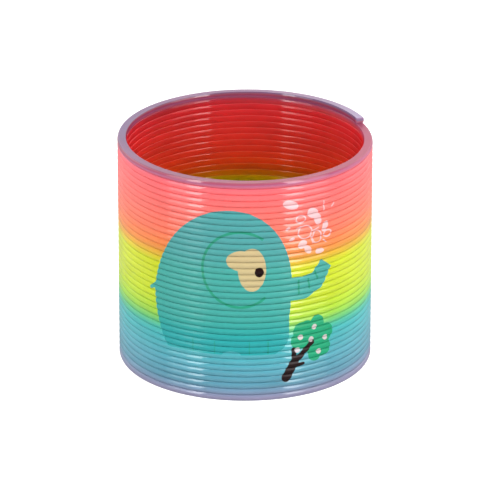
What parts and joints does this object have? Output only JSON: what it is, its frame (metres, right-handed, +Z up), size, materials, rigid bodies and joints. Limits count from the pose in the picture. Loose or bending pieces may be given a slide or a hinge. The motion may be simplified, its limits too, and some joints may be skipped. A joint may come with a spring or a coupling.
{
  "type": "spring coil toy",
  "caption": "Closed helical coil of rainbow plastic strip that stands on its end and stretches open along its axis.",
  "frame": {"origin": "centre of the ring that the coil stands on, at table height", "axes": "+Z up along the coil's axis; -Y towards the printed front; +X to the right of someone who looks at the print"},
  "size_m": [0.075, 0.075, 0.0693],
  "materials": {
    "mauve": "glossy, slightly translucent moulded plastic",
    "periwinkle": "glossy, slightly translucent moulded plastic",
    "sky": "glossy, slightly translucent moulded plastic",
    "teal": "glossy, slightly translucent moulded plastic",
    "green": "glossy, slightly translucent moulded plastic",
    "lime": "glossy, slightly translucent moulded plastic",
    "yellow": "glossy, slightly translucent moulded plastic",
    "amber": "glossy, slightly translucent moulded plastic",
    "orange": "glossy, slightly translucent moulded plastic",
    "salmon": "glossy, slightly translucent moulded plastic",
    "coral": "glossy, slightly translucent moulded plastic",
    "lilac": "glossy, slightly translucent moulded plastic"
  },
  "bodies": {
    "turn_01": {"turn_01": "mauve"},
    "turn_02": {"turn_02": "periwinkle"},
    "turn_03": {"turn_03": "periwinkle"},
    "turn_04": {"turn_04": "periwinkle"},
    "turn_05": {"turn_05": "sky"},
    "turn_06": {"turn_06": "sky"},
    "turn_07": {"turn_07": "sky"},
    "turn_08": {"turn_08": "sky"},
    "turn_09": {"turn_09": "teal"},
    "turn_10": {"turn_10": "teal"},
    "turn_11": {"turn_11": "teal"},
    "turn_12": {"turn_12": "green"},
    "turn_13": {"turn_13": "green"},
    "turn_14": {"turn_14": "lime"},
    "turn_15": {"turn_15": "lime"},
    "turn_16": {"turn_16": "lime"},
    "turn_17": {"turn_17": "lime"},
    "turn_18": {"turn_18": "yellow"},
    "turn_19": {"turn_19": "yellow"},
    "turn_20": {"turn_20": "yellow"},
    "turn_21": {"turn_21": "yellow"},
    "turn_22": {"turn_22": "yellow"},
    "turn_23": {"turn_23": "amber"},
    "turn_24": {"turn_24": "amber"},
    "turn_25": {"turn_25": "orange"},
    "turn_26": {"turn_26": "orange"},
    "turn_27": {"turn_27": "orange"},
    "turn_28": {"turn_28": "salmon"},
    "turn_29": {"turn_29": "salmon"},
    "turn_30": {"turn_30": "salmon"},
    "turn_31": {"turn_31": "coral"},
    "turn_32": {"turn_32": "coral"},
    "turn_33": {"turn_33": "coral"},
    "turn_34": {"turn_34": "coral"},
    "turn_35": {"turn_35": "coral"},
    "turn_36": {"turn_36": "lilac"}
  },
  "joints": [
    {"name": "lift_02", "type": "slide", "parent": "turn_01", "child": "turn_02", "axis": [0, 0, 1], "range_m": [0, 0.01]},
    {"name": "lift_03", "type": "slide", "parent": "turn_01", "child": "turn_03", "axis": [0, 0, 1], "range_m": [0, 0.02]},
    {"name": "lift_04", "type": "slide", "parent": "turn_01", "child": "turn_04", "axis": [0, 0, 1], "range_m": [0, 0.03]},
    {"name": "lift_05", "type": "slide", "parent": "turn_01", "child": "turn_05", "axis": [0, 0, 1], "range_m": [0, 0.04]},
    {"name": "lift_06", "type": "slide", "parent": "turn_01", "child": "turn_06", "axis": [0, 0, 1], "range_m": [0, 0.05]},
    {"name": "lift_07", "type": "slide", "parent": "turn_01", "child": "turn_07", "axis": [0, 0, 1], "range_m": [0, 0.06]},
    {"name": "lift_08", "type": "slide", "parent": "turn_01", "child": "turn_08", "axis": [0, 0, 1], "range_m": [0, 0.07]},
    {"name": "lift_09", "type": "slide", "parent": "turn_01", "child": "turn_09", "axis": [0, 0, 1], "range_m": [0, 0.08]},
    {"name": "lift_10", "type": "slide", "parent": "turn_01", "child": "turn_10", "axis": [0, 0, 1], "range_m": [0, 0.09]},
    {"name": "lift_11", "type": "slide", "parent": "turn_01", "child": "turn_11", "axis": [0, 0, 1], "range_m": [0, 0.1]},
    {"name": "lift_12", "type": "slide", "parent": "turn_01", "child": "turn_12", "axis": [0, 0, 1], "range_m": [0, 0.11]},
    {"name": "lift_13", "type": "slide", "parent": "turn_01", "child": "turn_13", "axis": [0, 0, 1], "range_m": [0, 0.12]},
    {"name": "lift_14", "type": "slide", "parent": "turn_01", "child": "turn_14", "axis": [0, 0, 1], "range_m": [0, 0.13]},
    {"name": "lift_15", "type": "slide", "parent": "turn_01", "child": "turn_15", "axis": [0, 0, 1], "range_m": [0, 0.14]},
    {"name": "lift_16", "type": "slide", "parent": "turn_01", "child": "turn_16", "axis": [0, 0, 1], "range_m": [0, 0.15]},
    {"name": "lift_17", "type": "slide", "parent": "turn_01", "child": "turn_17", "axis": [0, 0, 1], "range_m": [0, 0.16]},
    {"name": "lift_18", "type": "slide", "parent": "turn_01", "child": "turn_18", "axis": [0, 0, 1], "range_m": [0, 0.17]},
    {"name": "lift_19", "type": "slide", "parent": "turn_01", "child": "turn_19", "axis": [0, 0, 1], "range_m": [0, 0.18]},
    {"name": "lift_20", "type": "slide", "parent": "turn_01", "child": "turn_20", "axis": [0, 0, 1], "range_m": [0, 0.19]},
    {"name": "lift_21", "type": "slide", "parent": "turn_01", "child": "turn_21", "axis": [0, 0, 1], "range_m": [0, 0.2]},
    {"name": "lift_22", "type": "slide", "parent": "turn_01", "child": "turn_22", "axis": [0, 0, 1], "range_m": [0, 0.21]},
    {"name": "lift_23", "type": "slide", "parent": "turn_01", "child": "turn_23", "axis": [0, 0, 1], "range_m": [0, 0.22]},
    {"name": "lift_24", "type": "slide", "parent": "turn_01", "child": "turn_24", "axis": [0, 0, 1], "range_m": [0, 0.23]},
    {"name": "lift_25", "type": "slide", "parent": "turn_01", "child": "turn_25", "axis": [0, 0, 1], "range_m": [0, 0.24]},
    {"name": "lift_26", "type": "slide", "parent": "turn_01", "child": "turn_26", "axis": [0, 0, 1], "range_m": [0, 0.25]},
    {"name": "lift_27", "type": "slide", "parent": "turn_01", "child": "turn_27", "axis": [0, 0, 1], "range_m": [0, 0.26]},
    {"name": "lift_28", "type": "slide", "parent": "turn_01", "child": "turn_28", "axis": [0, 0, 1], "range_m": [0, 0.27]},
    {"name": "lift_29", "type": "slide", "parent": "turn_01", "child": "turn_29", "axis": [0, 0, 1], "range_m": [0, 0.28]},
    {"name": "lift_30", "type": "slide", "parent": "turn_01", "child": "turn_30", "axis": [0, 0, 1], "range_m": [0, 0.29]},
    {"name": "lift_31", "type": "slide", "parent": "turn_01", "child": "turn_31", "axis": [0, 0, 1], "range_m": [0, 0.3]},
    {"name": "lift_32", "type": "slide", "parent": "turn_01", "child": "turn_32", "axis": [0, 0, 1], "range_m": [0, 0.31]},
    {"name": "lift_33", "type": "slide", "parent": "turn_01", "child": "turn_33", "axis": [0, 0, 1], "range_m": [0, 0.32]},
    {"name": "lift_34", "type": "slide", "parent": "turn_01", "child": "turn_34", "axis": [0, 0, 1], "range_m": [0, 0.33]},
    {"name": "lift_35", "type": "slide", "parent": "turn_01", "child": "turn_35", "axis": [0, 0, 1], "range_m": [0, 0.34]},
    {"name": "stretch", "type": "slide", "parent": "turn_01", "child": "turn_36", "axis": [0, 0, 1], "range_m": [0, 0.35], "stiffness_N_per_m": 0.15}
  ],
  "couplings": [
    {"joint": "lift_02", "follows": "stretch", "ratio": 0.028571},
    {"joint": "lift_03", "follows": "stretch", "ratio": 0.057143},
    {"joint": "lift_04", "follows": "stretch", "ratio": 0.085714},
    {"joint": "lift_05", "follows": "stretch", "ratio": 0.11429},
    {"joint": "lift_06", "follows": "stretch", "ratio": 0.14286},
    {"joint": "lift_07", "follows": "stretch", "ratio": 0.17143},
    {"joint": "lift_08", "follows": "stretch", "ratio": 0.2},
    {"joint": "lift_09", "follows": "stretch", "ratio": 0.22857},
    {"joint": "lift_10", "follows": "stretch", "ratio": 0.25714},
    {"joint": "lift_11", "follows": "stretch", "ratio": 0.28571},
    {"joint": "lift_12", "follows": "stretch", "ratio": 0.31429},
    {"joint": "lift_13", "follows": "stretch", "ratio": 0.34286},
    {"joint": "lift_14", "follows": "stretch", "ratio": 0.37143},
    {"joint": "lift_15", "follows": "stretch", "ratio": 0.4},
    {"joint": "lift_16", "follows": "stretch", "ratio": 0.42857},
    {"joint": "lift_17", "follows": "stretch", "ratio": 0.45714},
    {"joint": "lift_18", "follows": "stretch", "ratio": 0.48571},
    {"joint": "lift_19", "follows": "stretch", "ratio": 0.51429},
    {"joint": "lift_20", "follows": "stretch", "ratio": 0.54286},
    {"joint": "lift_21", "follows": "stretch", "ratio": 0.57143},
    {"joint": "lift_22", "follows": "stretch", "ratio": 0.6},
    {"joint": "lift_23", "follows": "stretch", "ratio": 0.62857},
    {"joint": "lift_24", "follows": "stretch", "ratio": 0.65714},
    {"joint": "lift_25", "follows": "stretch", "ratio": 0.68571},
    {"joint": "lift_26", "follows": "stretch", "ratio": 0.71429},
    {"joint": "lift_27", "follows": "stretch", "ratio": 0.74286},
    {"joint": "lift_28", "follows": "stretch", "ratio": 0.77143},
    {"joint": "lift_29", "follows": "stretch", "ratio": 0.8},
    {"joint": "lift_30", "follows": "stretch", "ratio": 0.82857},
    {"joint": "lift_31", "follows": "stretch", "ratio": 0.85714},
    {"joint": "lift_32", "follows": "stretch", "ratio": 0.88571},
    {"joint": "lift_33", "follows": "stretch", "ratio": 0.91429},
    {"joint": "lift_34", "follows": "stretch", "ratio": 0.94286},
    {"joint": "lift_35", "follows": "stretch", "ratio": 0.97143}
  ]
}
